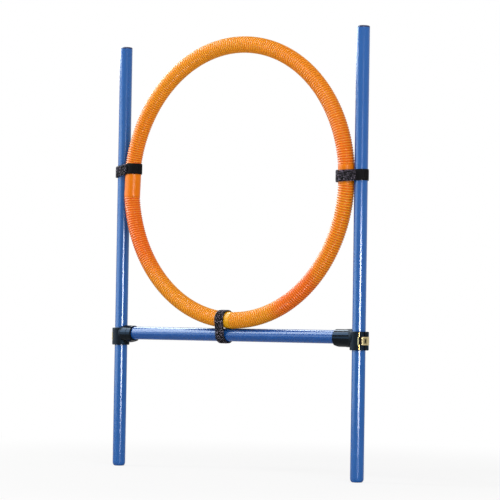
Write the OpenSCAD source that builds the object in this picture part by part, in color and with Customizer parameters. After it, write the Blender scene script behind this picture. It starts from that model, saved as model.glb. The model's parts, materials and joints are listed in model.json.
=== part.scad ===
// Agility tire jump: two upright poles, a crossbar held between them by sliding tees,
// and a ring of ribbed hose that stands on the bar and is strapped to bar and poles.
// Millimetres, +Z up. X runs along the crossbar and the front looks towards -Y.
// The origin is on the floor, midway between the two poles.

/* [Poles] */
// Outside diameter of each pole
pole_d = 30; // [26:1:36]
// Wall of each pole
pole_wall = 2; // [1.4:0.1:3]
// Height of each pole with its cap and its foot
pole_h = 1000; // [900:10:1400]
// Height of the cap that shows above the tube
cap_h = 4; // [3:0.5:8]
// Rounding of the cap's upper edge
cap_round = 2.5; // [1:0.1:3]
// Height of the foot that shows below the tube
foot_h = 8; // [5:0.5:14]
// Diameter of the flat tip of the foot
foot_tip_d = 19; // [14:1:22]
// Depth to which a cap or a foot is pushed into its tube
plug_depth = 24; // [12:1:50]

/* [Crossbar] */
// Outside diameter of the crossbar
bar_d = 30; // [26:1:34]
// Wall of the crossbar
bar_wall = 2; // [1.4:0.1:3]
// Height of the crossbar's axis above the floor
bar_z = 316; // [150:1:420]

/* [Tees] */
// Wall of the collar round the pole
collar_wall = 4.7; // [4.2:0.1:6]
// Height of the collar
collar_h = 41; // [36:1:56]
// Distance of the collar's middle below the bar's axis
collar_drop = 8; // [0:0.5:10]
// Wall of the socket above the bar
socket_wall = 2.2; // [1.6:0.1:4]
// Extra wall of the socket below the bar
keel_h = 4.4; // [1:0.2:7]
// Reach of the left socket from its pole's axis
left_reach = 44; // [40:1:90]
// Reach of the right socket from its pole's axis
right_reach = 60; // [40:1:90]
// Reach of the thicker root of each socket from its pole's axis
root_reach = 31; // [24:1:36]
// Step between the root and the rest of the socket
root_step = 0.5; // [0.3:0.1:2.5]
// Wall between the pole's bore and the end of the bar
stop_wall = 4; // [2:0.5:6]
// Length by which the socket's mouth is cut back below the bar
mouth_cut = 9; // [2:0.5:12]
// Bevel on the outer edges of the tee
tee_bevel = 1.2; // [0.4:0.1:1.6]

/* [Clasps] */
// Turn of the clasp round the collar, from straight outwards towards the front on the right
clasp_turn = 17; // [0:1:24]
// Width of the split in the outer side of the collar
split_w = 4; // [2:0.5:8]
// Angle from the outward direction to each of the two pins
pin_angle = 35; // [32:1:42]
// Diameter of the pins
pin_d = 3.6; // [3:0.1:4]
// Depth of each pin's axis below the collar's surface
pin_sink = 0.4; // [0.2:0.1:0.6]
// Wall of the clips that hold the pins
clip_wall = 1.4; // [1:0.1:2]
// Width of the mouth of those clips
clip_mouth = 2.8; // [1.6:0.1:2.8]
// Height of the clasp
clasp_h = 18; // [14:1:22]
// Thickness of the clasp's plate
clasp_t = 1.8; // [1.2:0.1:2.4]
// Distance of the clasp's plate from the collar
clasp_stand = 1.8; // [1.4:0.1:2]
// Wall of the clasp's barrel and hook round the pins
clasp_wall = 1.2; // [1:0.1:1.3]
// Width of the slot in the clasp
slot_w = 3; // [2:0.5:8]
// Height of the slot in the clasp
slot_h = 8.5; // [8.5:0.5:12]

/* [Ring] */
// Diameter of the ring at the middle of its hose
ring_d = 632; // [520:2:800]
// Outside diameter of the hose over its ribs
hose_d = 38; // [32:1:46]
// Depth of the grooves between the ribs
rib_depth = 2; // [1:0.1:2.6]
// Pitch of the ribs along the hose
rib_pitch = 9.6; // [9.6:0.1:14]
// Wall of the hose under its grooves
hose_wall = 1.2; // [1:0.1:2]
// Distance of the ring's plane in front of the poles
ring_forward = 8; // [0:0.5:14]
// Height of the left cuff, where the hose is joined, above the ring's middle
joint_rise = 13; // [0:1:25]
// Height of the right cuff above the ring's middle
right_rise = 8; // [0:1:25]
// Length of the plain hose at the joint on the left, two ends together
joint_cuff = 78; // [76:1:100]
// Length of the plain cuff on the right
right_cuff = 42; // [30:1:70]
// Length of the plain cuff near the bottom
bottom_cuff = 40; // [30:1:70]
// Distance of the bottom cuff to the left of the ring's middle
bottom_shift = 19; // [0:1:60]
// Distance between the two ends of the hose at the joint
joint_gap = 0.4; // [0.3:0.1:1]
// Length of the plug inside the joint
joiner_len = 64; // [40:1:72]
// Wall of the plug inside the joint
joiner_wall = 2; // [1.2:0.1:4]

/* [Straps] */
// Width of the straps
strap_w = 25; // [15:1:30]
// Thickness of the straps
strap_t = 2.2; // [1.2:0.1:3.5]
// Height of the left strap above the middle of its cuff
left_strap_lift = 25; // [-20:1:26]
// Height of the right strap above the middle of its cuff
right_strap_lift = -4; // [-6:1:6]
// Distance of the bottom strap to the left of its cuff's middle
bottom_strap_shift = 6; // [-6:1:7]

/* [Fits] */
// Gap between the collars and the poles that they slide on
slide_gap = 0.3; // [0.2:0.05:0.5]
// Gap between pieces that are seated on each other
seat_gap = 0.3; // [0.2:0.05:0.5]
// Gap between a pin and what turns on it
pin_gap = 0.05; // [0.03:0.01:0.1]
// Gap between the clasp's hook and the pin that it holds
hook_gap = 0.15; // [0.12:0.01:0.25]
// Gap between the clasp and the collar's recess for it
clasp_gap = 0.4; // [0.3:0.05:0.5]

/* [Hidden] */

$fn = 96;
// Length by which a cut runs past the faces that it opens
past = 1;
// Step of a rounded edge, in degrees
round_step = 15;
// Greatest step along a strap's curve, in degrees
arc_step = 6;
// Sides of the hose's section
hose_sides = 8;
// Number of ribs for each station of the hose's bore
bore_step = 6;

blue = [0.20, 0.36, 0.65];
cap_blue = [0.09, 0.14, 0.33];
black = [0.06, 0.06, 0.07];
strap_black = [0.09, 0.09, 0.10];
brass = [0.78, 0.62, 0.30];
zinc = [0.74, 0.70, 0.58];
orange = [0.93, 0.48, 0.10];
joiner_grey = [0.30, 0.30, 0.32];

pole_r = pole_d / 2;
bar_r = bar_d / 2;
hose_r = hose_d / 2;
ring_r = ring_d / 2;
plug_r = pole_r - pole_wall - seat_gap;
pin_r = pin_d / 2;

// Distance between two tubes' axes, seen from the front, where the hose rests on the other tube
function rest_gap(r) = sqrt(pow(hose_r + r + seat_gap, 2) - pow(ring_forward, 2));

pole_x = ring_r + rest_gap(pole_r);
ring_z = bar_z + rest_gap(bar_r) + ring_r;

// The tee, in its own frame: pole on Z, bar on +X, outer side towards -X
bore_r = pole_r + slide_gap;
collar_r = bore_r + collar_wall;
collar_low = -collar_drop - collar_h / 2;
socket_bore_r = bar_r + seat_gap;
socket_r = socket_bore_r + socket_wall + keel_h / 2;
socket_axis = -keel_h / 2;
keel_low = socket_axis - socket_r;
lip_low = -socket_bore_r - socket_wall;
mouth_slope = keel_h / mouth_cut;
// The socket's body starts inside the collar, beside the pole
socket_from = bore_r / 2;
stop_x = bore_r + stop_wall;
bar_end_x = pole_x - stop_x - seat_gap;

// The clasp and its pins, in the tee's frame
pin_ring = collar_r - pin_sink;
pin_x = -pin_ring * cos(pin_angle);
pin_y = pin_ring * sin(pin_angle);
clip_r = pin_r + pin_gap + clip_wall;
barrel_r = pin_r + pin_gap + clasp_wall;
hook_r = pin_r + hook_gap + clasp_wall;
recess_r = max(max(barrel_r, hook_r) + clasp_gap, clip_r + clasp_gap / 4);
plate_in = collar_r + clasp_stand;
plate_out = plate_in + clasp_t;
// The plate's two ends, as angles round the pole: it starts clear of the hinge's barrel, so that
// it doesn't meet the collar when it is open, and ends on the hook
barrel_clear = 10;
hook_cover = 2;
plate_from = 180 - pin_angle + barrel_clear;
plate_to = 180 + pin_angle + hook_cover;
// Direction from the hinge pin in which the plate's link leaves the barrel
link_dir = 210;
recess_h = clasp_h + 2 * clasp_gap;

// The ring runs round from the joint: left, over the top, right and along the bottom
joint_u = asin(joint_rise / ring_r);
right_u = 180 - asin(right_rise / ring_r);
bottom_u = 270 + asin(bottom_shift / ring_r);
joint_half = asin(joint_cuff / 2 / ring_r);
right_half = asin(right_cuff / 2 / ring_r);
bottom_half = asin(bottom_cuff / 2 / ring_r);
gap_half = asin(joint_gap / 2 / ring_r);
groove_r = hose_r - rib_depth;
hose_bore_r = groove_r - hose_wall;
// One corner of the hose's section looks at the pole and at the bar
section_turn = asin(ring_forward / (hose_r + pole_r + seat_gap));
joiner_r = hose_bore_r * cos(180 / hose_sides) - seat_gap;

// Plain cylinder with bevelled ends
module bevelled(r, h, bevel) {
    rotate_extrude()
        polygon([[0, 0], [r - bevel, 0], [r, bevel], [r, h - bevel], [r - bevel, h], [0, h]]);
}

module tube(r, wall, h) {
    difference() {
        cylinder(r = r, h = h);
        translate([0, 0, -past]) cylinder(r = r - wall, h = h + 2 * past);
    }
}

// Wedge from angle a0 to a1, reaching past radius r
module wedge(r, a0, a1) {
    polygon(concat([[0, 0]], [for (k = [0:3]) let (a = a0 + (a1 - a0) * k / 3) 2 * r * [cos(a), sin(a)]]));
}

module ring_sector(r_in, r_out, a0, a1) {
    difference() {
        intersection() {
            circle(r_out);
            wedge(r_out, a0, a1);
        }
        circle(r_in);
    }
}

// Points of an arc round the centre c
function arc_points(c, r, a0, a1) = let (n = ceil((a1 - a0) / arc_step))
    [for (k = [0:n]) let (a = a0 + (a1 - a0) * k / n) c + r * [cos(a), sin(a)]];

// Outline of a belt pulled round two circles: an arc on each, joined by two straight runs
module belt_outline(c1, r1, c2, r2) {
    d = c2 - c1;
    along = atan2(d[1], d[0]);
    side = acos((r1 - r2) / norm(d));
    polygon(concat(
        arc_points(c1, r1, along + side, along + 360 - side),
        arc_points(c2, r2, along - side, along + side)));
}

module belt(c1, r1, c2, r2, wide) {
    linear_extrude(wide, center = true)
        difference() {
            belt_outline(c1, r1 + strap_t, c2, r2 + strap_t);
            belt_outline(c1, r1, c2, r2);
        }
}

module pole() {
    color(blue)
        translate([0, 0, foot_h])
            tube(pole_r, pole_wall, pole_h - foot_h - cap_h);
}

module pole_cap() {
    rim = [for (a = [0:round_step:90])
        [pole_r - cap_round * (1 - cos(a)), pole_h - cap_round * (1 - sin(a))]];
    low = pole_h - cap_h;
    color(cap_blue)
        rotate_extrude()
            polygon(concat(
                [[0, low - plug_depth], [plug_r, low - plug_depth], [plug_r, low], [pole_r, low]],
                rim, [[0, pole_h]]));
}

module pole_foot() {
    tip_r = foot_tip_d / 2;
    nose = [for (a = [0:round_step:90])
        [tip_r + (pole_r - tip_r) * sin(a), foot_h * (1 - cos(a))]];
    color(blue)
        rotate_extrude()
            polygon(concat(
                [[0, 0]], nose,
                [[plug_r, foot_h], [plug_r, foot_h + plug_depth], [0, foot_h + plug_depth]]));
}

module crossbar() {
    color(blue)
        translate([-bar_end_x, 0, bar_z])
            rotate([0, 90, 0])
                tube(bar_r, bar_wall, 2 * bar_end_x);
}

// Puts a tee's piece at its pole: the right one is the left one turned half round
module at_tee(side) {
    translate([side * pole_x, 0, bar_z])
        rotate([0, 0, side < 0 ? 0 : 180])
            children();
}

// Turns a clasp or a pin round the collar
module turned() {
    rotate([0, 0, -clasp_turn]) children();
}

// Direction from the pole to the pin on the side s of the split, or to the split itself for s = 0
function pin_dir(s) = 180 - s * pin_angle - clasp_turn;

module at_pin(s, z) {
    translate([pin_ring * cos(pin_dir(s)), pin_ring * sin(pin_dir(s)), z]) children();
}

module tee(reach) {
    color(black)
        difference() {
            union() {
                translate([0, 0, collar_low]) bevelled(collar_r, collar_h, tee_bevel);
                translate([socket_from, 0, socket_axis])
                    rotate([0, 90, 0]) {
                        bevelled(socket_r, reach - socket_from, tee_bevel);
                        bevelled(socket_r + root_step, root_reach - socket_from, root_step);
                    }
                for (s = [-1, 1])
                    at_pin(s, collar_low) bevelled(clip_r, collar_h, tee_bevel);
            }
            translate([0, 0, collar_low - past])
                cylinder(r = bore_r, h = collar_h + 2 * past);
            // The socket's root stands higher than the collar, so the pole's bore goes on through it
            translate([0, 0, socket_axis - socket_r - root_step - past])
                cylinder(r = bore_r, h = 2 * (socket_r + root_step + past));
            translate([stop_x, 0, 0])
                rotate([0, 90, 0])
                    cylinder(r = socket_bore_r, h = reach - stop_x + past);
            // The mouth leans back below the bar
            rotate([90, 0, 0])
                linear_extrude(2 * (socket_r + past), center = true)
                    polygon([[reach + past, lip_low + past * mouth_slope],
                             [reach - mouth_cut - past / mouth_slope, keel_low - past],
                             [reach + past, keel_low - past]]);
            rotate([0, 0, pin_dir(0)])
                translate([0, -split_w / 2, collar_low - past])
                    cube([collar_r + past, split_w, collar_h + 2 * past]);
            for (s = [-1, 1]) {
                at_pin(s, collar_low - past)
                    cylinder(r = pin_r + pin_gap, h = collar_h + 2 * past);
                at_pin(s, -collar_drop - recess_h / 2)
                    cylinder(r = recess_r, h = recess_h);
                at_pin(s, collar_low - past)
                    rotate([0, 0, pin_dir(s)])
                        translate([0, -clip_mouth / 2, 0])
                            cube([clip_r + past, clip_mouth, collar_h + 2 * past]);
            }
        }
}

// One of the two upright pins of a tee, on the side s of its split
module tee_pin(s) {
    color(brass)
        translate([pin_x, s * pin_y, collar_low + tee_bevel / 2])
            bevelled(pin_r, collar_h - tee_bevel, tee_bevel / 3);
}

// Plate that bridges the split: it turns on one pin and hooks over the other
module clasp() {
    hinge = [pin_x, pin_y];
    keeper = [pin_x, -pin_y];
    start = [cos(plate_from), sin(plate_from)];
    color(zinc)
        translate([0, 0, -collar_drop])
            difference() {
                linear_extrude(clasp_h, center = true) {
                    difference() {
                        union() {
                            translate(hinge) circle(barrel_r);
                            ring_sector(plate_in, plate_out, plate_from, plate_to);
                            polygon([hinge + [-barrel_r, 0], plate_out * start, plate_in * start,
                                     hinge + barrel_r * [cos(link_dir), sin(link_dir)]]);
                        }
                        translate(hinge) circle(pin_r + pin_gap);
                    }
                    translate(keeper) ring_sector(pin_r + hook_gap, hook_r, 180, 270);
                }
                for (z = [-1, 1] * (slot_h - slot_w) / 2)
                    translate([-plate_out - past, 0, z])
                        rotate([0, 90, 0]) cylinder(d = slot_w, h = clasp_t + clasp_stand + past);
                translate([-plate_out - past, -slot_w / 2, -(slot_h - slot_w) / 2])
                    cube([clasp_t + clasp_stand + past, slot_w, slot_h - slot_w]);
            }
}

// Stretches of the hose from the joint round to the joint: start, end and, for a cuff, its middle
function stretches() = [
    [joint_u + gap_half, joint_u + joint_half, joint_u],
    [joint_u + joint_half, right_u - right_half],
    [right_u - right_half, right_u + right_half, right_u],
    [right_u + right_half, bottom_u - bottom_half],
    [bottom_u - bottom_half, bottom_u + bottom_half, bottom_u],
    [bottom_u + bottom_half, 360 + joint_u - joint_half],
    [360 + joint_u - joint_half, 360 + joint_u - gap_half, 360 + joint_u]];

function is_cuff(s) = len(s) == 3;
function ribs_in(s) = max(1, round((s[1] - s[0]) * PI / 180 * ring_r / rib_pitch));

// A cuff is a straight chord of the ring. Its ends lie on the ring's circle.
function cuff_half(u) = u == right_u ? right_half : u == bottom_u ? bottom_half : joint_half;
function cuff_from_middle(mid) = ring_r * cos(cuff_half(mid));

// A station is the angle of its centre, the angle that it faces, its distance from the ring's
// middle and its radius
function cuff_station(s, u, r) = [u, s[2], cuff_from_middle(s[2]) / cos(u - s[2]), r];
function rib_station(s, k, r) = let (u = s[0] + (s[1] - s[0]) * k / ribs_in(s)) [u, u, ring_r, r];

function outer_stations() = [for (s = stretches())
    each is_cuff(s)
        ? [cuff_station(s, s[0], hose_r), cuff_station(s, s[1], hose_r)]
        : [for (k = [0:0.5:ribs_in(s)]) rib_station(s, k, k == floor(k) ? groove_r : hose_r)]];

function bore_stations() = [for (s = stretches())
    each is_cuff(s)
        ? [cuff_station(s, s[0], hose_bore_r), cuff_station(s, s[1], hose_bore_r)]
        : [for (k = [bore_step / 2:bore_step:ribs_in(s) - bore_step / 2]) rib_station(s, k, hose_bore_r)]];

function radial(u) = [-cos(u), 0, sin(u)];

function station_points(st) = [for (j = [0:hose_sides - 1])
    let (a = section_turn + 360 * j / hose_sides)
    st[2] * radial(st[0]) + st[3] * (cos(a) * radial(st[1]) + sin(a) * [0, 1, 0])];

// Triangles between rows i and i + 1 of a skin whose first point has the number first
function skin(rows, first, inwards) = [for (i = [0:rows - 2], j = [0:hose_sides - 1])
    let (k = (j + 1) % hose_sides,
         a = first + i * hose_sides + j, b = first + i * hose_sides + k,
         c = b + hose_sides, d = a + hose_sides)
    each inwards ? [[a, c, b], [a, d, c]] : [[a, b, c], [a, c, d]]];

// Triangles of a square end between the outer row at o and the bore's row at i
function end_face(o, i, last) = [for (j = [0:hose_sides - 1])
    let (k = (j + 1) % hose_sides)
    each last ? [[o + j, o + k, i + k], [o + j, i + k, i + j]]
              : [[o + j, i + k, o + k], [o + j, i + j, i + k]]];

module ring_hose() {
    outer = outer_stations();
    bore = bore_stations();
    n = len(outer) * hose_sides;
    m = len(bore) * hose_sides;
    color(orange)
        translate([0, -ring_forward, ring_z])
            polyhedron(
                points = [for (st = concat(outer, bore)) each station_points(st)],
                faces = concat(
                    skin(len(outer), 0, false),
                    skin(len(bore), n, true),
                    end_face(0, n, false),
                    end_face(n - hose_sides, n + m - hose_sides, true)));
}

// Plug pushed into both ends of the hose where they meet
module hose_joiner() {
    color(joiner_grey)
        translate([0, -ring_forward, ring_z])
            translate(cuff_from_middle(joint_u) * radial(joint_u))
                rotate([0, joint_u, 0])
                    translate([0, 0, -joiner_len / 2])
                        tube(joiner_r, joiner_wall, joiner_len);
}

// Radius of a strap's loop round a cuff that leans by an angle across the strap's width
function loop_r(lean) = hose_r / cos(lean) + strap_w / 2 * tan(lean) + seat_gap;

// Strap round a pole and the side cuff whose middle is at the angle mid
module side_strap(side, mid, rise) {
    lean = asin(sin(mid));
    hose_x = (cuff_from_middle(mid) - rise * sin(lean)) / cos(lean);
    color(strap_black)
        translate([0, 0, ring_z + rise])
            belt([side * pole_x, 0], pole_r + seat_gap,
                 [side * hose_x, -ring_forward], loop_r(lean), strap_w);
}

// Strap round the crossbar and the bottom cuff
module bottom_strap() {
    lean = bottom_u - 270;
    strap_x = bottom_shift + bottom_strap_shift;
    drop = (cuff_from_middle(bottom_u) - strap_x * sin(lean)) / cos(lean);
    color(strap_black)
        translate([-strap_x, 0, 0])
            rotate([90, 0, 90])
                belt([0, bar_z], bar_r + seat_gap,
                     [-ring_forward, ring_z - drop], loop_r(lean), strap_w);
}

module left_pole() { translate([-pole_x, 0, 0]) pole(); }
module right_pole() { translate([pole_x, 0, 0]) pole(); }
module left_pole_cap() { translate([-pole_x, 0, 0]) pole_cap(); }
module right_pole_cap() { translate([pole_x, 0, 0]) pole_cap(); }
module left_pole_foot() { translate([-pole_x, 0, 0]) pole_foot(); }
module right_pole_foot() { translate([pole_x, 0, 0]) pole_foot(); }
module left_tee() { at_tee(-1) tee(left_reach); }
module right_tee() { at_tee(1) tee(right_reach); }
module left_hinge_pin() { at_tee(-1) turned() tee_pin(1); }
module right_hinge_pin() { at_tee(1) turned() tee_pin(1); }
module left_keeper_pin() { at_tee(-1) turned() tee_pin(-1); }
module right_keeper_pin() { at_tee(1) turned() tee_pin(-1); }
module left_clasp() { at_tee(-1) turned() clasp(); }
module right_clasp() { at_tee(1) turned() clasp(); }
module left_strap() { side_strap(-1, joint_u, joint_rise + left_strap_lift); }
module right_strap() { side_strap(1, right_u, right_rise + right_strap_lift); }

left_pole();
right_pole();
left_pole_cap();
right_pole_cap();
left_pole_foot();
right_pole_foot();
crossbar();
left_tee();
right_tee();
left_hinge_pin();
right_hinge_pin();
left_keeper_pin();
right_keeper_pin();
left_clasp();
right_clasp();
ring_hose();
hose_joiner();
left_strap();
right_strap();
bottom_strap();
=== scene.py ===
# %% [markdown]
# # An agility tire jump
#
# Two upright plastic poles, a crossbar between them on sliding tees, and a ring of ribbed hose
# that stands on the bar and is strapped to bar and poles. The hard parts come from the CAD model
# as they are. This lesson gives them their finishes, and makes the soft parts afresh: the hose
# with its many fine ribs, and the three hook-and-loop straps.

# %% Load the frame
import json
import math

import bmesh
import bpy
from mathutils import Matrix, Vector

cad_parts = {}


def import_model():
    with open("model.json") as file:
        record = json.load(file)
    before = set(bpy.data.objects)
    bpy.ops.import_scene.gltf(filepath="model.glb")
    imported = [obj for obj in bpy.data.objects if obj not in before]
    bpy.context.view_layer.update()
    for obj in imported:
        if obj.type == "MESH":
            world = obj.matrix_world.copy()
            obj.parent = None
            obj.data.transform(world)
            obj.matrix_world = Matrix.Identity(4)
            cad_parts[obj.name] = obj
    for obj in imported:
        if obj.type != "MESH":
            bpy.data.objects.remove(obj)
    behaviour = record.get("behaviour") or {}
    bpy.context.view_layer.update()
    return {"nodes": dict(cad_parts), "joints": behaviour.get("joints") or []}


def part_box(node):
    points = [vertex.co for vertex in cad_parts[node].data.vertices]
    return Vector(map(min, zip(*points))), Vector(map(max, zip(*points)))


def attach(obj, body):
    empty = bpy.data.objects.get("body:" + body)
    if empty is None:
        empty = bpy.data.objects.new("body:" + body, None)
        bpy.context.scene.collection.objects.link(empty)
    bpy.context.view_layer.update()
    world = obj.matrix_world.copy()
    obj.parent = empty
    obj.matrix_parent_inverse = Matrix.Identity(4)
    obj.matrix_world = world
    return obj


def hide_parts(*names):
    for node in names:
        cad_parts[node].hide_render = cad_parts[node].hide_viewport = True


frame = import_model()

# %% [markdown]
# ## Sizes
#
# Everything is in metres and in the CAD model's own frame: the floor is at z = 0, x runs along the
# crossbar, and the front looks towards -y. Sizes that can be read off a CAD node are read off it,
# so that the soft parts always sit on the hard ones. The rest repeats the CAD model's own values.

# %% Sizes of tubes and ring
MM = 0.001


def middle(node, axis):
    """The middle of a CAD node's box along one axis."""
    low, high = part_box(node)
    return (low[axis] + high[axis]) / 2


def breadth(node, axis):
    """The size of a CAD node's box along one axis."""
    low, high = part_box(node)
    return high[axis] - low[axis]


POLE_R = breadth("left_pole", 0) / 2
POLE_X = middle("right_pole", 0)
BAR_R = breadth("crossbar", 2) / 2
BAR_Z = middle("crossbar", 2)
HOSE_R = 19 * MM
RING_R = 316 * MM
RING_Y = -8 * MM
SEAT_GAP = 0.3 * MM
RING_Z = BAR_Z + math.sqrt((HOSE_R + BAR_R + SEAT_GAP) ** 2 - RING_Y ** 2) + RING_R
print(f"poles at x = {POLE_X:.4f}, bar at z = {BAR_Z:.4f}, ring's middle at z = {RING_Z:.4f}")

# %% [markdown]
# ## Camera
#
# The photograph was taken from low down, to the right of the front, with a long lens. A pinhole
# camera that was fitted to the ends of the poles, the bar and the ring gives the angles and the
# distance below. Its focal length is in pixels of a picture 500 pixels wide. Blender's lens is in
# millimetres on a sensor that is 36 mm wide.

# %% Camera at the photograph's angle
CAMERA_YAW = math.radians(38.685)
CAMERA_PITCH = math.radians(2.028)
CAMERA_ROLL = math.radians(0.916)
CAMERA_DISTANCE = 4.8915
CAMERA_FOCUS = 2146.5
IMAGE_WIDTH = 500
SENSOR_WIDTH = 36
CAMERA_AIM = Vector((0.0407, 0.0, 0.510))

level_right = Vector((math.cos(CAMERA_YAW), math.sin(CAMERA_YAW), 0))
sight_line = Vector((-math.sin(CAMERA_YAW) * math.cos(CAMERA_PITCH),
                     math.cos(CAMERA_YAW) * math.cos(CAMERA_PITCH), math.sin(CAMERA_PITCH)))
level_up = level_right.cross(sight_line)
camera_right = math.cos(CAMERA_ROLL) * level_right + math.sin(CAMERA_ROLL) * level_up
camera_up = math.cos(CAMERA_ROLL) * level_up - math.sin(CAMERA_ROLL) * level_right

lens = bpy.data.cameras.new("photo_lens")
lens.sensor_width = SENSOR_WIDTH
lens.lens = CAMERA_FOCUS / IMAGE_WIDTH * SENSOR_WIDTH
camera = bpy.data.objects.new("photo_camera", lens)
bpy.context.collection.objects.link(camera)
turn = camera.rotation_euler.to_matrix()
turn.col[0], turn.col[1], turn.col[2] = camera_right, camera_up, -sight_line
camera.rotation_euler = turn.to_euler()
camera.location = CAMERA_AIM - CAMERA_DISTANCE * sight_line
bpy.context.scene.camera = camera
bpy.context.scene.view_settings.view_transform = "Standard"
print("camera at", [round(v, 3) for v in camera.location], "lens", round(lens.lens, 1), "mm")

# %% [markdown]
# ## Node maths as Python
#
# Node trees get long when every sum is a block of code. The small class below wraps one socket, and
# its operators add Math nodes, so that `1 - mask * 0.3` builds the nodes it names. Every other node
# comes from its `node` method: the node's type, its settings, and what goes into its sockets.

# %% A socket that does arithmetic
class Wire:
    """One output of a node tree, or the tree itself while it has no socket yet."""

    def __init__(self, tree, socket=None):
        self.tree, self.socket = tree, socket

    def node(self, kind, settings=None, sockets=None, out=0):
        """Adds a node and returns one of its outputs."""
        made = self.tree.nodes.new(kind)
        for name, value in (settings or {}).items():
            setattr(made, name, value)
        for key, value in (sockets or {}).items():
            if isinstance(value, Wire):
                self.tree.links.new(value.socket, made.inputs[key])
            else:
                made.inputs[key].default_value = value
        return Wire(self.tree, made.outputs[out] if made.outputs else None)

    def other(self, name):
        """Another output of the same node."""
        return Wire(self.tree, self.socket.node.outputs[name])

    def maths(self, operation, first, second=0.0):
        """Adds a Math node and returns its output."""
        return self.node("ShaderNodeMath", {"operation": operation}, {0: first, 1: second})

    def __add__(self, value):
        return self.maths("ADD", self, value)

    def __radd__(self, value):
        return self.maths("ADD", value, self)

    def __sub__(self, value):
        return self.maths("SUBTRACT", self, value)

    def __rsub__(self, value):
        return self.maths("SUBTRACT", value, self)

    def __mul__(self, value):
        return self.maths("MULTIPLY", self, value)

    def __rmul__(self, value):
        return self.maths("MULTIPLY", value, self)

    def __truediv__(self, value):
        return self.maths("DIVIDE", self, value)

    def __pow__(self, value):
        return self.maths("POWER", self, value)

    def __abs__(self):
        return self.maths("ABSOLUTE", self)


def limit(value):
    """The value kept between 0 and 1."""
    return value.node("ShaderNodeClamp", None, {"Value": value})


def blend_colour(factor, first, second):
    """A colour between two colours."""
    return factor.node("ShaderNodeMix", {"data_type": "RGBA"}, {0: factor, 6: first, 7: second}, out=2)


print("node maths ready")

# %% [markdown]
# ## A common ground for the finishes
#
# Every finish below is a Principled shader with three things that vary over the surface: colour,
# roughness and a fine bump. One helper makes the shader and takes those three, and the constant
# settings of a finish, such as its coat, go straight onto the shader's own sockets. Colours are
# written as a paint chart gives them, from 0 to 255, and turned into the linear light values that
# Blender works in.

# %% Helpers for the finishes
WHITE = (1, 1, 1, 1)


def paint(red, green, blue):
    """A chart colour as linear light."""
    def linear(value):
        share = value / 255
        return share / 12.92 if share <= 0.04045 else ((share + 0.055) / 1.055) ** 2.4
    return (linear(red), linear(green), linear(blue), 1.0)


def new_finish(name):
    """An empty material, and the start of its node tree."""
    finish = bpy.data.materials.new(name)
    finish.use_nodes = True
    finish.node_tree.nodes.clear()
    return finish, Wire(finish.node_tree)


def close_finish(start, colour, roughness, height, depth, **constants):
    """Ends a finish in its shader: what varies by links, what doesn't on the shader's own sockets."""
    bump = start.node("ShaderNodeBump", None, {"Height": height, "Distance": depth, "Strength": 1.0})
    sockets = {"Base Color": colour, "Roughness": roughness, "Normal": bump}
    sockets.update({name.replace("_", " "): value for name, value in constants.items()})
    shader = start.node("ShaderNodeBsdfPrincipled", None, sockets)
    start.node("ShaderNodeOutputMaterial", None, {"Surface": shader})


def object_point(start):
    """The point of the surface, in the object's own metres."""
    return start.node("ShaderNodeTexCoord", out="Object")


def grain(start, point, scale, detail, stretch=(1, 1, 1)):
    """Noise from 0 to 1, with scale waves to a metre; a stretch below 1 on an axis draws out streaks."""
    placed = start.node("ShaderNodeMapping", None, {"Vector": point, "Scale": stretch})
    return start.node("ShaderNodeTexNoise", None, {"Vector": placed, "Scale": scale, "Detail": detail})


def step_up(value, low, high):
    """Rises smoothly from 0 at low to 1 at high."""
    return value.node("ShaderNodeMapRange", {"interpolation_type": "SMOOTHSTEP"},
                      {"Value": value, "From Min": low, "From Max": high})


print("finish helpers ready")

# %% [markdown]
# ## Blue tube
#
# The poles and the bar are extruded plastic tube. The die leaves faint lines along the tube, and
# handling leaves short scuffs round it. Noise that is drawn out along the tube's own axis gives the
# lines, so the poles and the bar each get a copy of the finish with its own direction. The bar's
# copy has a darker blue, which is painted shade.

# %% Finish of the poles and the crossbar
ALONG_POLE = (1, 1, 0.02)
ALONG_BAR = (0.02, 1, 1)
DIE_LINE_DEPTH = 0.0003 * MM
# Scuffs run round the tube, so their noise is drawn out on the other axes
SCUFF_STRETCH = 1.2
SCUFF_BLUE = paint(90, 140, 205)


def tube_finish(name, along, dark, light, shine):
    """A tube's finish; along stretches its noise, and is smallest on the tube's own axis."""
    finish, start = new_finish(name)
    point = object_point(start)
    around = tuple(SCUFF_STRETCH - share for share in along)
    lines = grain(start, point, 700, 3, along)
    scuffs = step_up(grain(start, point, 260, 4, around), 0.66, 0.74)
    cloud = grain(start, point, 9, 3)
    shade = limit(0.35 * lines + 0.65 * cloud)
    colour = blend_colour(shade, dark, light)
    colour = blend_colour(scuffs * 0.2, colour, SCUFF_BLUE)
    roughness = 0.15 + 0.03 * lines + 0.05 * scuffs
    close_finish(start, colour, roughness, lines - 0.5 * scuffs, DIE_LINE_DEPTH, Specular_IOR_Level=shine)
    return finish


pole_finish = tube_finish("blue_tube_upright", ALONG_POLE, paint(22, 84, 156), paint(36, 98, 172), 0.34)
# The bar's darker blue is painted shade
bar_finish = tube_finish("blue_tube_level", ALONG_BAR, paint(18, 74, 146), paint(30, 86, 160), 0.26)
print("made", pole_finish.name, "and", bar_finish.name)

# %% [markdown]
# ## Moulded plastic: plugs and tees
#
# Caps, feet and tees are injection moulded. Their skin is glossy with a very slight waviness where
# the plastic shrank as it cooled, and a few rub marks. The tees are almost black, so their look
# comes from what they reflect, and a cool tint is painted into those reflections. The waviness in the
# bump keeps those reflections from being perfect, and the collars are duller than the sockets.

# %% Finish of plugs and tees
SHRINK_DEPTH = 0.05 * MM
# Where a tee's collar ends, from the pole's axis
COLLAR_EDGE = (23.5 * MM, 24.5 * MM)
# Painted reflection: a cool tint on the tees' reflections
PAINTED_REFLECTION_TINT = paint(120, 185, 255)


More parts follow.
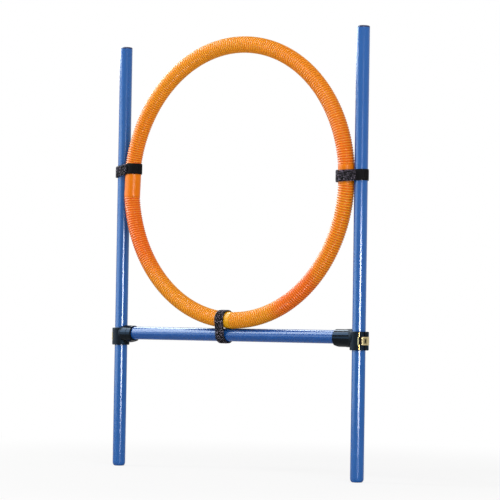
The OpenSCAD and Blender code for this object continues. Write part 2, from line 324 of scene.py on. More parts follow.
def moulded_finish(name, dark, light, gloss, shine, tint=WHITE, dull=None):
    """A moulded part's finish; dull, where given, is a function from a point to a mask of dull skin."""
    finish, start = new_finish(name)
    point = object_point(start)
    wave = grain(start, point, 90, 2)
    pores = grain(start, point, 1600, 2)
    rubs = step_up(grain(start, point, 220, 5, (1, 1, 0.25)), 0.62, 0.72)
    colour = blend_colour(limit(0.7 * wave + 0.3 * rubs), dark, light)
    roughness = gloss + 0.04 * wave + 0.06 * rubs
    if dull:
        roughness = limit(roughness + 0.45 * dull(point))
    close_finish(start, colour, roughness, 0.95 * wave + 0.05 * pores, SHRINK_DEPTH,
                 Specular_IOR_Level=shine, Specular_Tint=tint)
    return finish


def collar_mask(point):
    """1 on the tees' collars, which have an eroded, dull skin, and 0 on their sockets."""
    place = point.node("ShaderNodeSeparateXYZ", None, {"Vector": point})
    from_pole = ((abs(place) - POLE_X) ** 2 + place.other("Y") ** 2) ** 0.5
    return 1 - step_up(from_pole, *COLLAR_EDGE)


plug_finish = moulded_finish("navy_plug_plastic", paint(20, 32, 72), paint(30, 46, 94), 0.3, 0.4)
tee_finish = moulded_finish("black_tee_plastic", paint(16, 17, 15), paint(25, 26, 24), 0.05, 0.11,
                            PAINTED_REFLECTION_TINT, collar_mask)
joiner_finish = moulded_finish("grey_joiner_plastic", paint(70, 70, 74), paint(84, 84, 88), 0.5, 0.5)
print("made", plug_finish.name, tee_finish.name, joiner_finish.name)

# %% [markdown]
# ## Metal of pins and clasps
#
# The pins are turned brass and the clasps are pressed steel with a warm plating. Rolling leaves
# fine lines along the sheet, and thin wear shows a paler metal. Lines come from noise drawn out
# along one axis, and they go into roughness and bump more than into colour. A clasp has a painted
# dark reflection in a strip beside its hinge, and a darker painted reflection in the middle of its plate.

# %% Finish of pins and clasps
ROLLING_DEPTH = 0.002 * MM
CLASP_METAL = (paint(184, 166, 118), paint(226, 208, 160), 0.2, (0.1, 0.1, 1))
STRIP_PAINTED_REFLECTION, HOURGLASS_PAINTED_REFLECTION = paint(24, 21, 20), paint(118, 110, 82)
# Where the painted dark reflection strip begins and ends, from the line through the pole's axis and the
# hinge
STRIP_BEGIN = (-2.2 * MM, -1.6 * MM)
STRIP_END = (5.2 * MM, 6.4 * MM)
# How far the middle of the plate is from the hinge, and where its painted hourglass reflection fades beside
# it
PLATE_MIDDLE = 13.5 * MM
HOURGLASS_FADE = (1.5 * MM, 6 * MM)


def metal_finish(name, dark, light, gloss, along, shade=None):
    """A metal part's finish; shade, where given, paints darker reflections into the colour and returns a
    mask of dull metal.
    """
    finish, start = new_finish(name)
    point = object_point(start)
    lines = grain(start, point, 2400, 2, along)
    stain = grain(start, point, 180, 4)
    worn = step_up(stain, 0.58, 0.75)
    colour = blend_colour(limit(0.4 * lines + 0.6 * stain), dark, light)
    roughness = gloss + 0.1 * lines + 0.1 * worn
    if shade:
        colour, dull = shade(point, colour)
        roughness = limit(roughness + 0.4 * dull)
    close_finish(start, colour, roughness, lines, ROLLING_DEPTH, Metallic=1.0)
    return finish


def clasp_painted_reflections(node, joint):
    """Paints a dark reflection in a strip of a clasp beside its hinge, and a darker reflection in the middle
    of its plate in an hourglass.
    """
    hinge = next(j for j in frame["joints"] if j["name"] == joint)["pos_m"]
    mid_z, half_z = middle(node, 2), breadth(node, 2) / 2
    pole_x = math.copysign(POLE_X, hinge[0])
    spoke = Vector((hinge[0] - pole_x, hinge[1])).normalized()

    def shade(point, colour):
        place = point.node("ShaderNodeSeparateXYZ", None, {"Vector": point})
        x, y, z = place, place.other("Y"), place.other("Z")
        from_hinge = ((x - hinge[0]) ** 2 + (y - hinge[1]) ** 2) ** 0.5
        aside = (y - hinge[1]) * spoke.x - (x - hinge[0]) * spoke.y
        # A dark reflection is painted in this strip beside the hinge
        strip = step_up(aside, *STRIP_BEGIN) * (1 - step_up(aside, *STRIP_END))
        waist = 1 - abs((z - mid_z) / half_z)
        plate_middle = 1 - step_up(abs(from_hinge - PLATE_MIDDLE), *HOURGLASS_FADE)
        # A darker reflection is painted in an hourglass in the middle of the plate
        hourglass = limit(plate_middle * step_up(waist, 0.1, 0.5) * 1.2)
        colour = blend_colour(hourglass * 0.85, colour, HOURGLASS_PAINTED_REFLECTION)
        return blend_colour(strip, colour, STRIP_PAINTED_REFLECTION), strip

    return shade


pin_finish = metal_finish("brass_pin", paint(196, 148, 74), paint(232, 192, 120), 0.28, (1, 1, 0.05))
left_clasp_finish, right_clasp_finish = [
    metal_finish(f"{side}_plated_clasp", *CLASP_METAL, clasp_painted_reflections(f"{side}_clasp", f"{side}_clasp_hinge"))
    for side in ("left", "right")]
print("made", pin_finish.name, left_clasp_finish.name, right_clasp_finish.name)

# %% [markdown]
# ## Orange hose
#
# The hose is blow-moulded in a thin orange plastic, and its grooves get painted shade, so that they
# look deeper and redder than its crests. The mesh carries two values: groove is 1 at the bottom of a
# groove, and plain is 1 on the cuffs. The finish mixes its colours by them. The colour also drifts, as
# painted light with a little random tone: it is amber at the top of the ring, at the left of its bottom
# and low on its right side, and red-orange elsewhere. The crests get a painted highlight, a little paler
# all round. The glints on the ribs come from the gloss and the studio's cards.

# %% Finish of the hose
RED_ORANGE, AMBER_PAINTED_LIGHT = paint(234, 112, 4), paint(230, 163, 8)
GROOVE_PAINTED_SHADE, CREST_PAINTED_HIGHLIGHT = paint(222, 74, 2), paint(252, 196, 96)
SPECK_DEPTH = 0.003 * MM
# Where the painted-light amber comes and goes, in metres: heights from the ring's middle, and places along
# the bar
TOP_HEIGHTS = (-0.1, RING_R)
TOP_FADE = (-0.02, 0.2)
BOTTOM_HEIGHTS = (-0.8 * RING_R, -0.45 * RING_R)
BOTTOM_FADE = (0.1, 0.16)
RIGHT_HEIGHTS = (-0.06, 0.02)
RIGHT_BEGIN = (0.225, 0.25)


def make_hose_finish():
    """The finish of the ribbed hose."""
    finish, start = new_finish("orange_hose_plastic")
    point = object_point(start)
    groove = start.node("ShaderNodeAttribute", {"attribute_name": "groove"}, out="Fac")
    plain = start.node("ShaderNodeAttribute", {"attribute_name": "plain"}, out="Fac")
    place = start.node("ShaderNodeSeparateXYZ", None, {"Vector": point})
    height = place.other("Z") - RING_Z
    cloud = grain(start, point, 14, 3)
    specks = grain(start, point, 900, 2)
    top = step_up(height, *TOP_HEIGHTS) * (1 - 0.25 * step_up(place, *TOP_FADE))
    bottom = (1 - step_up(height, *BOTTOM_HEIGHTS)) * (1 - step_up(place, *BOTTOM_FADE))
    right_side = step_up(place, *RIGHT_BEGIN) * (1 - step_up(height, *RIGHT_HEIGHTS))
    # Painted light: amber at the top, bottom left and low right, red-orange elsewhere; the cloud adds random
    # tone
    painted_light_and_tone = limit(top + bottom + 0.6 * right_side + 0.3 * (cloud - 0.5))
    # Painted shade darkens and reddens the grooves
    colour = blend_colour(groove * 0.7, blend_colour(painted_light_and_tone, RED_ORANGE, AMBER_PAINTED_LIGHT), GROOVE_PAINTED_SHADE)
    # Painted highlight: the crests are paler all round
    crest_highlight = (1 - groove) ** 6 * (1 - plain)
    colour = blend_colour(crest_highlight * 0.3, colour, CREST_PAINTED_HIGHLIGHT)
    roughness = 0.3 + 0.06 * specks + 0.08 * groove
    close_finish(start, colour, roughness, specks, SPECK_DEPTH, Specular_IOR_Level=0.12)
    return finish


hose_finish = make_hose_finish()
print("made", hose_finish.name)

# %% [markdown]
# ## Strap cloth
#
# A hook-and-loop strap has two faces: a felted one of tiny loops, and a flat woven one. Both are
# black. The loops scatter light in all directions, so that face gets sheen, pale specks of painted
# highlight, and real fibres later on. The woven face is smoother, and its threads run across the
# strap. Both patterns follow the strap's own map, which is in metres along and across the strap.

# %% Finishes of the straps
THREAD_PITCH = 0.7 * MM
CORD_PITCH = 1.1 * MM
PILE_DEPTH = 0.5 * MM
WEAVE_DEPTH = 0.12 * MM


def strap_finishes():
    """The finishes of a strap's loop face and of its woven face."""
    pile, start = new_finish("strap_loop_pile")
    spot = start.node("ShaderNodeUVMap", {"uv_map": "strap_map"})
    tufts = start.node("ShaderNodeTexVoronoi", {"feature": "F1"}, {"Vector": spot, "Scale": 1300})
    matting_and_highlights = grain(start, spot, 260, 4)
    # Pale specks are painted highlights on the black loops
    colour = blend_colour(limit(step_up(matting_and_highlights, 0.52, 0.75) * (1 - tufts)),
                          paint(10, 9, 11), paint(110, 102, 122))
    close_finish(start, colour, 0.8 + 0.15 * matting_and_highlights, 0.6 * tufts + matting_and_highlights, PILE_DEPTH,
                 Specular_IOR_Level=0.1, Sheen_Weight=0.04, Sheen_Tint=paint(190, 180, 205))

    weave, start = new_finish("strap_flat_weave")
    spot = start.node("ShaderNodeUVMap", {"uv_map": "strap_map"})
    along = start.node("ShaderNodeSeparateXYZ", None, {"Vector": spot}, out="X")
    across = along.other("Y")
    threads = abs(start.maths("SINE", along * (math.pi / THREAD_PITCH)))
    cords = abs(start.maths("SINE", across * (math.pi / CORD_PITCH)))
    lint = step_up(grain(start, spot, 700, 4), 0.64, 0.76)
    cloth = 0.6 * threads + 0.4 * cords
    colour = blend_colour(limit(0.6 * cloth + lint), paint(4, 4, 5), paint(18, 17, 20))
    close_finish(start, colour, 0.6 + 0.2 * cloth, cloth, WEAVE_DEPTH,
                 Specular_IOR_Level=0.06, Sheen_Weight=0.01)
    return pile, weave


pile_finish, weave_finish = strap_finishes()
print("made", pile_finish.name, "and", weave_finish.name)

# %% [markdown]
# ## The path of the hose
#
# The hose runs once round the ring, from the joint at the left over the top and back. It is ribbed
# except at three plain cuffs, where the straps go round it, and a cuff is stiff, so there the ring
# runs straight. The path below has eight stations to a rib. Each station carries two values for the
# node tree: how many ribs came before it, and how plain the hose is there.

# %% Stations along the hose
RIB_PITCH = 5.6 * MM
STATIONS_PER_RIB = 8
CUFF_STEP = 2 * MM
JOINT_GAP = 0.05 * MM
# Each cuff: the angle of its middle, and its length
JOINT_CUFF = (math.asin(13 * MM / RING_R), 78 * MM)
RIGHT_CUFF = (math.pi - math.asin(8 * MM / RING_R), 42 * MM)
BOTTOM_CUFF = (1.5 * math.pi + math.asin(19 * MM / RING_R), 40 * MM)


def half_angle(length):
    """Half of the angle that a straight cuff takes up on the ring."""
    return math.asin(length / 2 / RING_R)


def on_ring(angle, distance):
    """A point by its angle from the ring's left side over the top, and its distance from the middle."""
    return Vector((-distance * math.cos(angle), RING_Y, RING_Z + distance * math.sin(angle)))


def cuff_stations(cuff, first, last):
    """Stations on a straight cuff, between two distances from its middle."""
    angle, length = cuff
    inward = RING_R * math.cos(half_angle(length))
    count = max(2, round((last - first) / CUFF_STEP))
    for i in range(count + 1):
        along = first + (last - first) * i / count
        yield on_ring(angle + math.atan2(along, inward), math.hypot(along, inward)), 0.0, 1.0


def ribbed_stations(first, last):
    """Stations on a ribbed arc, from a groove to a groove."""
    ribs = round(RING_R * (last - first) / RIB_PITCH)
    count = ribs * STATIONS_PER_RIB
    for i in range(1, count):
        yield on_ring(first + (last - first) * i / count, RING_R), i / STATIONS_PER_RIB, 0.0


def after(cuff):
    """The angle at which a cuff ends."""
    return cuff[0] + half_angle(cuff[1])


def before(cuff):
    """The angle at which a cuff begins."""
    return cuff[0] - half_angle(cuff[1])


full_turn = 2 * math.pi
joint_half = JOINT_CUFF[1] / 2
hose_stations = [
    *cuff_stations(JOINT_CUFF, JOINT_GAP / 2, joint_half),
    *ribbed_stations(after(JOINT_CUFF), before(RIGHT_CUFF)),
    *cuff_stations(RIGHT_CUFF, -RIGHT_CUFF[1] / 2, RIGHT_CUFF[1] / 2),
    *ribbed_stations(after(RIGHT_CUFF), before(BOTTOM_CUFF)),
    *cuff_stations(BOTTOM_CUFF, -BOTTOM_CUFF[1] / 2, BOTTOM_CUFF[1] / 2),
    *ribbed_stations(after(BOTTOM_CUFF), before(JOINT_CUFF) + full_turn),
    *cuff_stations(JOINT_CUFF, -joint_half, -JOINT_GAP / 2),
]
print("hose stations:", len(hose_stations))

# %% [markdown]
# ## Ribs by Geometry Nodes
#
# A corrugated hose could be drawn as one long lathe shape and bent with a curve modifier. Sweeping a
# circle along the path is simpler: Curve to Mesh takes a scale for each station, and the scale dips
# at every groove. The depth, the radius and the number of sides are inputs of the tree, and the
# groove value is stored for the finish.

# %% Trees, modifiers and plain meshes
def new_tree(name, inputs):
    """A geometry tree with a Geometry input, named number inputs, and a Geometry output."""
    tree = bpy.data.node_groups.new(name, "GeometryNodeTree")
    tree.interface.new_socket("Geometry", in_out="INPUT", socket_type="NodeSocketGeometry")
    for label, kind in inputs.items():
        tree.interface.new_socket(label, in_out="INPUT", socket_type=kind)
    tree.interface.new_socket("Geometry", in_out="OUTPUT", socket_type="NodeSocketGeometry")
    return Wire(tree).node("NodeGroupInput", out="Geometry")


def end_tree(start, geometry, finish):
    """Ends a tree with real faces in one finish."""
    real = start.node("GeometryNodeRealizeInstances", None, {"Geometry": geometry})
    dressed = start.node("GeometryNodeSetMaterial", None, {"Geometry": real, "Material": finish})
    start.node("NodeGroupOutput", None, {"Geometry": dressed})


def grown(name, base, tree, values):
    """The plain mesh object that a tree makes from a base mesh."""
    seed = bpy.data.objects.new(name + "_seed", base)
    bpy.context.collection.objects.link(seed)
    modifier = seed.modifiers.new("grow", "NODES")
    modifier.node_group = tree
    for item in tree.interface.items_tree:
        if item.in_out == "INPUT" and item.name in values:
            modifier[item.identifier] = values[item.name]
    shape = bpy.data.meshes.new_from_object(seed.evaluated_get(bpy.context.evaluated_depsgraph_get()))
    bpy.data.objects.remove(seed)
    shape.name = name
    piece = bpy.data.objects.new(name, shape)
    bpy.context.collection.objects.link(piece)
    return piece


def triangles(piece):
    """How many triangles a piece has."""
    return sum(len(face.vertices) - 2 for face in piece.data.polygons)


print("tree helpers ready")

# %% Grow the hose
GROOVE_DEPTH = 1.6 * MM
CUFF_DROP = 0.2 * MM
HOSE_SIDES = 30


def hose_tree():
    """The tree that sweeps a circle along the path and narrows it at every groove."""
    start = new_tree("ribbed_hose", {"Hose Radius": "NodeSocketFloat", "Groove Depth": "NodeSocketFloat",
                                     "Cuff Step": "NodeSocketFloat", "Sides": "NodeSocketInt"})
    ribs = start.node("GeometryNodeInputNamedAttribute", None, {"Name": "ribs"})
    plain = start.node("GeometryNodeInputNamedAttribute", None, {"Name": "plain"})
    path = start.node("GeometryNodeMeshToCurve", None, {"Mesh": start})
    groove = start.maths("COSINE", ribs * math.pi) ** 2 * (1 - plain)
    marked = start.node("GeometryNodeStoreNamedAttribute", {"data_type": "FLOAT", "domain": "POINT"},
                        {"Geometry": path, "Name": "groove", "Value": groove})
    radius = start.other("Hose Radius")
    section = start.node("GeometryNodeCurvePrimitiveCircle", None,
                         {"Resolution": start.other("Sides"), "Radius": radius})
    scale = 1 - (start.other("Groove Depth") * groove + start.other("Cuff Step") * plain) / radius
    tube = start.node("GeometryNodeCurveToMesh", None,
                      {"Curve": marked, "Profile Curve": section, "Scale": scale, "Fill Caps": True})
    smooth = start.node("GeometryNodeSetShadeSmooth", None, {"Geometry": tube})
    end_tree(start, smooth, hose_finish)
    return start.tree


hose_path = bpy.data.meshes.new("hose_path")
hose_path.from_pydata([place for place, _, _ in hose_stations],
                      [(i, i + 1) for i in range(len(hose_stations) - 1)], [])
for name, column in (("ribs", 1), ("plain", 2)):
    values = hose_path.attributes.new(name, "FLOAT", "POINT").data
    for value, station in zip(values, hose_stations):
        value.value = station[column]

hose = grown("ribbed_ring", hose_path, hose_tree(),
             {"Hose Radius": HOSE_R, "Groove Depth": GROOVE_DEPTH, "Cuff Step": CUFF_DROP,
              "Sides": HOSE_SIDES})
print("hose:", triangles(hose), "triangles")

# %% [markdown]
# ## The way round a strap
#
# A strap goes round two tubes like a belt round two pulleys: round the outside of each, straight
# between them. The belt's start lies under its own tail, and the tail runs on past it. The helper
# returns the belt's length, and a function from the distance along the belt to the point and the
# outward direction there.

# %% A belt round two tubes
def belt(first, first_r, second, second_r):
    """The belt line round two circles in a plane, anticlockwise from where it meets the second one."""
    gap = second - first
    base = math.atan2(gap.y, gap.x)
    spread = math.acos((first_r - second_r) / gap.length)
    straight = gap.length * math.sin(spread)
    pieces = [("arc", second, second_r, base - spread, 2 * spread),
              ("line", second, second_r, base + spread, straight),
              ("arc", first, first_r, base + spread, 2 * math.pi - 2 * spread),
              ("line", first, first_r, base - spread, straight)]
    lengths = [turned * radius if kind == "arc" else turned for kind, _, radius, _, turned in pieces]

    def place(distance):
        distance %= sum(lengths)
        for (kind, centre, radius, angle, _), length in zip(pieces, lengths):
            if distance <= length:
                break
            distance -= length
        if kind == "arc":
            angle += distance / radius
        out = Vector((math.cos(angle), math.sin(angle)))
        point = centre + radius * out
        if kind == "line":
            point += distance * Vector((-out.y, out.x))
        return point, out

    return sum(lengths), place


print("belt helper ready")

# %% [markdown]
# ## Straps as ribbons
#
# Webbing is modelled directly, as a ribbon with two faces and soft edges. The ribbon keeps its
# thickness, rides up by one layer where the tail covers the start, and its tail end is rounded off.
# The last stretch of its outer face is the loop face; the rest is the flat weave. A map in metres
# along and across the ribbon is stored for the finishes.

# %% Build a ribbon
STRAP_WIDTH = 25 * MM
STRAP_THICKNESS = 1.7 * MM
STRAP_SEAT = 0.3 * MM
RIBBON_STEP = 1.5 * MM
RIBBON_LANES = 10
TAIL_ROUND = 7 * MM
TAIL_BLUNT = 0.02
LAYER_RISE = 14 * MM
EDGE_THINNING = 0.55
EDGE_SHARPNESS = 8


def soft_step(value):
    """Rises smoothly from 0 at 0 to 1 at 1."""
    value = min(1.0, max(0.0, value))
    return value * value * (3 - 2 * value)


def ribbon_section(half_width):
    """Offsets across and out of the ribbon, once round its closed section."""
    lanes = [-1 + 2 * k / RIBBON_LANES for k in range(RIBBON_LANES + 1)]
    outer = [(v * half_width, STRAP_THICKNESS / 2 * (1 - EDGE_THINNING * abs(v) ** EDGE_SHARPNESS))
             for v in lanes]
    return outer + [(v, -out) for v, out in reversed(outer)]


def strap(name, spot, across, line, begin, overlap, pile_length, sway):
    """A strap on a belt line, and its cut length.

    spot places a point of the belt's plane in space, begin and overlap are distances along the belt,
    pile_length is how much of the end is loop face, and sway shifts the strap across its width.
    """
    loop, place = line
    length = loop + overlap
    count = round(length / RIBBON_STEP)
    verts, faces, kinds, map_at = [], [], [], []
    around = 2 * (RIBBON_LANES + 1)
    for i in range(count + 1):
        run = length * i / count
        point, out = place(begin + run)
        layer = soft_step((run - loop + LAYER_RISE) / LAYER_RISE)
        rise = STRAP_SEAT + STRAP_THICKNESS / 2 + layer * (STRAP_THICKNESS + STRAP_SEAT / 2)
        centre = spot(point + rise * out)
        outward = spot(point + (rise + 1) * out) - centre
        into_end = max(0.0, run - length + TAIL_ROUND) / TAIL_ROUND
        narrowing = TAIL_ROUND * (1 - math.sqrt(max(TAIL_BLUNT, 1 - into_end ** 2)))
        half_width = STRAP_WIDTH / 2 - narrowing
        shift = sway(centre)
        for side, lift in ribbon_section(half_width):
            verts.append(centre + (side + shift) * across + lift * outward)
            map_at.append((run, side))
    for i in range(count):
        for k in range(around):
            a, b = i * around + k, i * around + (k + 1) % around
            faces.append((a, b, b + around, a + around))
            kinds.append(length * i / count > length - pile_length and k < RIBBON_LANES)
    for base in (0, count * around):
        for k in range(RIBBON_LANES):
            back = around - 1 - k
            faces.append((base + k, base + k + 1, base + back - 1, base + back))
            kinds.append(False)
    shape = bpy.data.meshes.new(name)
    shape.from_pydata(verts, [], faces)
    shape.materials.append(weave_finish)
    shape.materials.append(pile_finish)
    pile = shape.attributes.new("pile", "FLOAT", "FACE").data
    strap_map = shape.uv_layers.new(name="strap_map").data
    for face, kind in zip(shape.polygons, kinds):
        face.use_smooth = True
        face.material_index = int(kind)
        pile[face.index].value = float(kind)
        for corner in face.loop_indices:
            strap_map[corner].uv = map_at[shape.loops[corner].vertex_index]
    outwards(shape)
    piece = bpy.data.objects.new(name, shape)
    bpy.context.collection.objects.link(piece)
    return piece, length


def outwards(shape):
    """Turns a closed mesh's faces outwards."""
    work = bmesh.new()
    work.from_mesh(shape)
    bmesh.ops.recalc_face_normals(work, faces=work.faces)
    work.to_mesh(shape)
    work.free()


print("ribbon helper ready")

# %% [markdown]
# ## The three straps
#
# The side straps tie the hose to the poles, and the third ties it to the bar. The left strap was
# put on a little askew: it sits lower on the pole than on the hose. The right one sits a little higher
# on its pole, and the bottom one is pulled to the left on the bar. The tails of the side straps end
# at the front, and that of the bottom strap ends at the back.

# %% Make the straps
LEFT_STRAP_Z = RING_Z + 38 * MM
RIGHT_STRAP_Z = RING_Z + 4 * MM
BOTTOM_STRAP_X = -25 * MM


def cuff_axis(cuff, height):
    """How far to the side a side cuff's axis lies, at a height above the ring's middle."""
    inward = RING_R * math.cos(half_angle(cuff[1]))
    lean = math.asin(math.sin(cuff[0]))
    return (inward - height * math.sin(lean)) / math.cos(lean)


def level_plane(height):
    """Places the plane of a strap round an upright tube."""
    return lambda point: Vector((point.x, point.y, height))


def upright_plane(x):
    """Places the plane of a strap round the crossbar."""
    return lambda point: Vector((x, point.x, point.y))


left_hose_x = -cuff_axis(JOINT_CUFF, LEFT_STRAP_Z - RING_Z)
right_hose_x = cuff_axis(RIGHT_CUFF, RIGHT_STRAP_Z - RING_Z)
bottom_lean = BOTTOM_CUFF[0] - 1.5 * math.pi
bottom_hose_z = RING_Z - (RING_R * math.cos(half_angle(BOTTOM_CUFF[1]))
                          + BOTTOM_STRAP_X * math.sin(bottom_lean)) / math.cos(bottom_lean)

left_line = belt(Vector((-POLE_X, 0)), POLE_R, Vector((left_hose_x, RING_Y)), HOSE_R)
right_line = belt(Vector((POLE_X, 0)), POLE_R, Vector((right_hose_x, RING_Y)), HOSE_R)
bottom_line = belt(Vector((0, BAR_Z)), BAR_R, Vector((RING_Y, bottom_hose_z)), HOSE_R)


def slant(axis, hose_at, tube_at, on_hose, on_tube):
    """A strap's shift across its width, blended from its value on the hose to that on the tube."""
    def shift(point):
        share = (point[axis] - hose_at) / (tube_at - hose_at)
        return on_hose + (on_tube - on_hose) * min(1.0, max(0.0, share))
    return shift


UP, RIGHTWARD = Vector((0, 0, 1)), Vector((1, 0, 0))
left_strap, left_cut = strap(
    "left_strap_band", level_plane(LEFT_STRAP_Z), UP, left_line,
    begin=left_line[0] - 0.056, overlap=0.060, pile_length=0.085,
    sway=slant(0, left_hose_x, -POLE_X - POLE_R, on_hose=2.5 * MM, on_tube=-4 * MM))
right_strap, right_cut = strap(
    "right_strap_band", level_plane(RIGHT_STRAP_Z), UP, right_line,
    begin=0.020, overlap=0.072, pile_length=0.097,
    sway=slant(0, right_hose_x, POLE_X + POLE_R, on_hose=0.0, on_tube=2.4 * MM))
bottom_strap, bottom_cut = strap(
    "bottom_strap_band", upright_plane(BOTTOM_STRAP_X), RIGHTWARD, bottom_line,
    begin=0.098, overlap=0.060, pile_length=0.150,
    sway=slant(2, bottom_hose_z, BAR_Z, on_hose=0.0, on_tube=-5 * MM))
for piece, cut in ((left_strap, left_cut), (right_strap, right_cut), (bottom_strap, bottom_cut)):
    print(piece.name, "cut length", round(cut, 4), "triangles", triangles(piece))

# %% [markdown]
# ## Fibres on the loop faces
#
# The felted face is thousands of tiny loops that stand up and catch the light at its outline. Points
# are scattered on the faces that are marked as pile, with a fixed seed, and each gets one small bent
# fibre with a random turn and size. A fibre has only a dozen faces, because there are thousands.

# %% Grow the fibres
FIBRES_PER_AREA = 1.8e6
FIBRE_HEIGHT = 1.4 * MM
FIBRE_RADIUS = 0.11 * MM
FIBRE_STEPS = 4
FIBRE_SIDES = 3
FIBRE_LEAN = 0.5
FIBRE_SMALLEST, FIBRE_LARGEST = 0.5, 1.4
FIBRE_BUMP = 0.01 * MM


def fibre_tree():
    """The tree that scatters bent fibres on the faces marked as pile."""
    start = new_tree("loop_fibres", {"Fibres Per Area": "NodeSocketFloat", "Fibre Height": "NodeSocketFloat",
                                     "Fibre Radius": "NodeSocketFloat", "Seed": "NodeSocketInt"})
    pile = start.node("GeometryNodeInputNamedAttribute", None, {"Name": "pile"})
    spots = start.node("GeometryNodeDistributePointsOnFaces", {"distribute_method": "RANDOM"},
                       {"Mesh": start, "Density": start.other("Fibres Per Area") * pile,
                        "Seed": start.other("Seed")})
    tall = start.other("Fibre Height")
    up = start.node("ShaderNodeCombineXYZ", None, {"Z": tall})
    over = start.node("ShaderNodeCombineXYZ", None, {"X": tall * 0.9, "Z": tall * 0.75})
    down = start.node("ShaderNodeCombineXYZ", None, {"X": tall * 0.8, "Z": tall * 0.1})
    bend = start.node("GeometryNodeCurvePrimitiveBezierSegment", {"mode": "POSITION"},
                      {"Resolution": FIBRE_STEPS, "Start": (0, 0, 0), "Start Handle": up,
                       "End Handle": over, "End": down})
    section = start.node("GeometryNodeCurvePrimitiveCircle", None,
                         {"Resolution": FIBRE_SIDES, "Radius": start.other("Fibre Radius")})
    fibre = start.node("GeometryNodeCurveToMesh", None, {"Curve": bend, "Profile Curve": section})
    spin = start.node("FunctionNodeRandomValue", {"data_type": "FLOAT_VECTOR"},
                      {"Min": (-FIBRE_LEAN, -FIBRE_LEAN, -math.pi),
                       "Max": (FIBRE_LEAN, FIBRE_LEAN, math.pi), "Seed": start.other("Seed")})
    size = start.node("FunctionNodeRandomValue", {"data_type": "FLOAT"},
                      {2: FIBRE_SMALLEST, 3: FIBRE_LARGEST, "Seed": start.other("Seed") + 7}, out=1)
    turned = start.node("FunctionNodeRotateRotation", {"rotation_space": "LOCAL"},
                        {"Rotation": spots.other("Rotation"), "Rotate By": spin})
    copies = start.node("GeometryNodeInstanceOnPoints", None,
                        {"Points": spots, "Instance": fibre, "Rotation": turned, "Scale": size})
    end_tree(start, copies, fibre_finish)
    return start.tree


def make_fibre_finish():
    """The finish of the fibres: black, with pale specks of painted highlight."""
    finish, start = new_finish("strap_fibre")
    point = object_point(start)
    # Pale specks painted as highlights on the black fibres
    painted_highlight_specks = step_up(grain(start, point, 400, 3), 0.53, 0.63)
    tone = grain(start, point, 2600, 1)
    colour = blend_colour(limit(painted_highlight_specks * (0.6 + tone)), paint(9, 8, 11), paint(196, 184, 208))
    close_finish(start, colour, 0.6 + 0.2 * tone, tone, FIBRE_BUMP, Specular_IOR_Level=0.2)
    return finish


fibre_finish = make_fibre_finish()
fibres_of = fibre_tree()
fibres = {}
for seed, band in enumerate((left_strap, right_strap, bottom_strap), start=1):
    name = band.name.replace("band", "fibres")
    fibres[band.name] = grown(name, band.data.copy(), fibres_of,
                              {"Fibres Per Area": FIBRES_PER_AREA, "Fibre Height": FIBRE_HEIGHT,
                               "Fibre Radius": FIBRE_RADIUS, "Seed": seed})
    print(name, triangles(fibres[band.name]), "triangles")

# %% [markdown]
# ## Dress the hard parts
#
# Poles, plugs, bar, tees, pins and clasps keep their CAD shapes. Each only gets its finish: the
# material slots of the node's object are emptied and filled with one material.

# %% Finishes on CAD nodes
NODE_FINISH = {
    "left_pole": pole_finish, "right_pole": pole_finish, "crossbar": bar_finish,
    "left_pole_cap": plug_finish, "right_pole_cap": plug_finish,
    "left_pole_foot": pole_finish, "right_pole_foot": pole_finish,
    "left_tee": tee_finish, "right_tee": tee_finish,
    "left_hinge_pin": pin_finish, "right_hinge_pin": pin_finish,
    "left_keeper_pin": pin_finish, "right_keeper_pin": pin_finish,
    "left_clasp": left_clasp_finish, "right_clasp": right_clasp_finish,
    "hose_joiner": joiner_finish,
}
for node, finish in NODE_FINISH.items():
    piece = frame["nodes"][node]
    piece.data.materials.clear()
    piece.data.materials.append(finish)
print("dressed", len(NODE_FINISH), "nodes")

# %% [markdown]
# ## Studio
#
# The picture has a white ground with no visible edge. The world is white to the camera and to
# reflections, and about half as bright as a light. The floor is pale: it turns white away from the
# object and keeps a soft shadow under it. The key lamp stands high on the left and a fill lamp at the front
# lifts the shade. The cards don't light anything and only show as reflections, as cards do in a
# studio: the two strips draw the pale line down each pole, and the two pale blue cards on the left
# give the cool edges of the poles, the bright top of the bar and the bands on the tees.

# %% World and floor
AMBIENT = 0.55
FLOOR_GREY = (0.7, 0.7, 0.7, 1)
FLOOR_HALF = 30.0
SHADOW_REACH = (0.5, 1.6)
SHADOW_SHARE = 0.18

world = bpy.data.worlds.new("studio_world")
bpy.context.scene.world = world
world.use_nodes = True
world.node_tree.nodes.clear()
start = Wire(world.node_tree)
path = start.node("ShaderNodeLightPath", out="Is Camera Ray")
seen = limit(path + path.other("Is Glossy Ray") + path.other("Is Transmission Ray"))
ground = start.node("ShaderNodeBackground", None,
                    {"Color": WHITE, "Strength": AMBIENT + (1 - AMBIENT) * seen})
start.node("ShaderNodeOutputWorld", None, {"Surface": ground})

floor_finish, start = new_finish("pale_floor")
path = start.node("ShaderNodeLightPath", out="Is Camera Ray")
reach = start.node("ShaderNodeVectorMath", {"operation": "LENGTH"}, {0: object_point(start)}, out="Value")
whiteness = 1 - SHADOW_SHARE + SHADOW_SHARE * step_up(reach, *SHADOW_REACH)
matt = start.node("ShaderNodeBsdfDiffuse", None, {"Color": FLOOR_GREY})
white = start.node("ShaderNodeEmission", None, {"Color": WHITE, "Strength": 1.0})
lit = start.node("ShaderNodeMixShader", None, {0: path * whiteness, 1: matt, 2: white})
start.node("ShaderNodeOutputMaterial", None, {"Surface": lit})

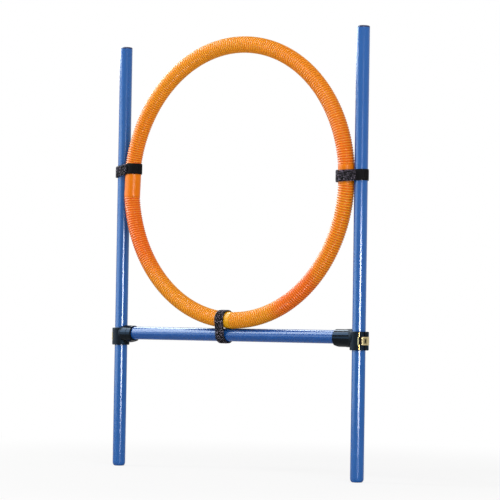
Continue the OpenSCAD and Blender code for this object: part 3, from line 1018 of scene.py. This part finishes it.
floor_shape = bpy.data.meshes.new("studio_floor")
floor_shape.from_pydata([(-FLOOR_HALF, -FLOOR_HALF, 0), (FLOOR_HALF, -FLOOR_HALF, 0),
                         (FLOOR_HALF, FLOOR_HALF, 0), (-FLOOR_HALF, FLOOR_HALF, 0)], [], [(0, 1, 2, 3)])
floor_shape.materials.append(floor_finish)
floor = bpy.data.objects.new("studio_floor", floor_shape)
bpy.context.collection.objects.link(floor)
print("world and floor ready")

# %% Lamps and cards
PLAIN_WHITE = (1, 1, 1)
WARM_WHITE = (1.0, 0.99, 0.97)
PALE_BLUE = (0.84, 0.95, 1.0)
LIGHT_BLUE = (0.75, 0.92, 1.0)


def beside_camera(side, distance, height):
    """A place round the object, turned from the camera by an angle that is positive to the right."""
    angle = math.radians(side)
    away = -math.cos(angle) * sight_line + math.sin(angle) * level_right
    away.z = 0
    place = CAMERA_AIM + distance * away.normalized()
    place.z = height
    return place


def aimed(place, aim_height):
    """The turn that faces a lamp or card to a height on the object's middle line."""
    aim = Vector((CAMERA_AIM.x, CAMERA_AIM.y, aim_height))
    return (aim - place).to_track_quat("-Z", "Y")


def lamp(name, place, aim_height, size, brightness, colour):
    """A soft lamp that lights the object but isn't mirrored in it. Brightness 1 is white."""
    light = bpy.data.lights.new(name, "AREA")
    light.shape = "RECTANGLE"
    light.size, light.size_y = size
    light.energy = brightness * math.pi * size[0] * size[1]
    light.color = colour
    piece = bpy.data.objects.new(name, light)
    piece.location = place
    piece.rotation_euler = aimed(place, aim_height).to_euler()
    piece.visible_camera = piece.visible_glossy = False
    bpy.context.collection.objects.link(piece)
    return piece


def card(name, place, aim_height, size, brightness, colour):
    """A glowing card that is mirrored in the object but doesn't light it."""
    glow, start = new_finish(name + "_glow")
    light = start.node("ShaderNodeEmission", None, {"Color": (*colour, 1), "Strength": brightness})
    start.node("ShaderNodeOutputMaterial", None, {"Surface": light})
    # Sampled as a lamp is, so that its reflections in the ribs are free of stray specks
    glow.cycles.emission_sampling = "FRONT_BACK"
    turn = aimed(place, aim_height)
    corners = [place + turn @ Vector((x * size[0] / 2, y * size[1] / 2, 0))
               for x, y in ((-1, -1), (1, -1), (1, 1), (-1, 1))]
    shape = bpy.data.meshes.new(name)
    shape.from_pydata(corners, [], [(0, 1, 2, 3)])
    shape.materials.append(glow)
    piece = bpy.data.objects.new(name, shape)
    piece.visible_camera = piece.visible_diffuse = piece.visible_shadow = False
    bpy.context.collection.objects.link(piece)
    return piece


lamps = [
    lamp("key_lamp", beside_camera(-98, 2.4, 2.2), aim_height=0.5, size=(0.8, 0.7), brightness=26,
         colour=WARM_WHITE),
    lamp("fill_lamp", beside_camera(15, 3.2, 2.2), aim_height=0.5, size=(2.0, 2.0), brightness=4.4,
         colour=PLAIN_WHITE),
]
cards = [
    card("strip_card", beside_camera(15, 2.4, 0.35), aim_height=0.35, size=(0.85, 0.6), brightness=47,
         colour=PLAIN_WHITE),
    card("faint_strip_card", beside_camera(15, 2.41, 0.5), aim_height=0.5, size=(0.2, 1.4), brightness=7,
         colour=PLAIN_WHITE),
    card("low_card", beside_camera(-86, 3.2, 0.6), aim_height=0.6, size=(3.4, 1.2), brightness=5,
         colour=LIGHT_BLUE),
    card("high_card", beside_camera(-120, 2.6, 2.5), aim_height=0.6, size=(4.6, 2.8), brightness=14,
         colour=PALE_BLUE),
]
print("studio:", [piece.name for piece in lamps + cards])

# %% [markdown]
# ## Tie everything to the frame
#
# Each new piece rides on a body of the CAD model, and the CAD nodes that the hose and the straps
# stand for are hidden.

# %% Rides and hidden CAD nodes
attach(hose, "carriage")
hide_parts("ring_hose")

STRAPS = ((left_strap, "left_strap", left_cut, ["left_pole", hose]),
          (right_strap, "right_strap", right_cut, ["right_pole", hose]),
          (bottom_strap, "bottom_strap", bottom_cut, ["crossbar", hose]))
for band, node, cut, carried_by in STRAPS:
    hair = fibres[band.name]
    for piece in (band, hair):
        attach(piece, "carriage")
    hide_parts(node)
print("tied the hose and", len(STRAPS), "straps to the carriage")

# %% Finish
print("scene finished")
